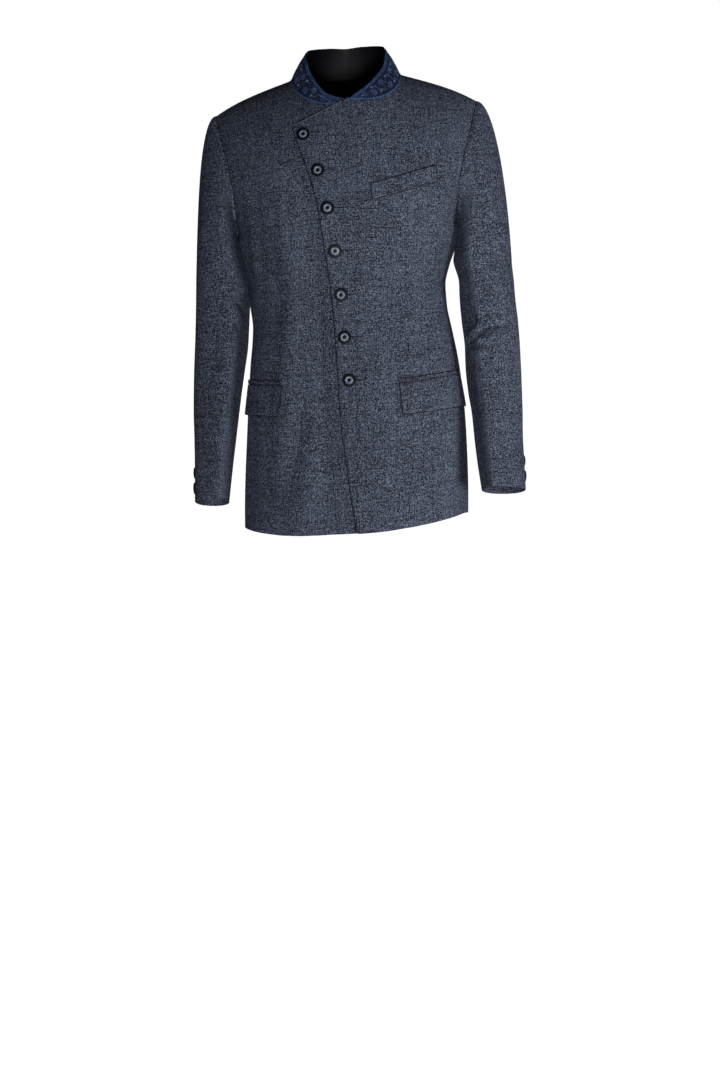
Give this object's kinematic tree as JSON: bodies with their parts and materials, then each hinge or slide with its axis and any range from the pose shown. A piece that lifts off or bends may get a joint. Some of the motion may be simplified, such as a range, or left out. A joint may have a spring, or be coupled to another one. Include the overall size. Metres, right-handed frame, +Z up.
{
  "type": "jodhpuri jacket",
  "caption": "Worn-shape jodhpuri jacket with a slanting buttoned front, embroidered stand collar, chest welt and flap pockets.",
  "frame": {"origin": "centre of the base of the neck, between the two points where the shoulder seams meet the collar", "axes": "+Z up along the wearer's height, -Y out of the front, +X to the wearer's left"},
  "size_m": [0.5479, 0.2681, 0.8149],
  "materials": {
    "shell_cloth": "slubbed raw silk, matt with a faint sheen",
    "collar_cloth": "embroidered band, slightly glossy thread",
    "jetting_cloth": "dark plain weave",
    "button": "dark beaded rim with a pewter ring"
  },
  "bodies": {
    "root": {"front_left": "shell_cloth", "front_right": "shell_cloth", "back_left": "shell_cloth", "back_right": "shell_cloth", "top_sleeve_left": "shell_cloth", "under_sleeve_left": "shell_cloth", "top_sleeve_right": "shell_cloth", "under_sleeve_right": "shell_cloth", "collar": "collar_cloth", "chest_welt": "shell_cloth", "flap_left": "shell_cloth", "flap_right": "shell_cloth", "jetting_left": "jetting_cloth", "jetting_right": "jetting_cloth", "button_1": "button", "button_2": "button", "button_3": "button", "button_4": "button", "button_5": "button", "button_6": "button", "button_7": "button", "cuff_button_left_1": "button", "cuff_button_left_2": "button", "cuff_button_right_1": "button", "cuff_button_right_2": "button"}
  },
  "joints": []
}
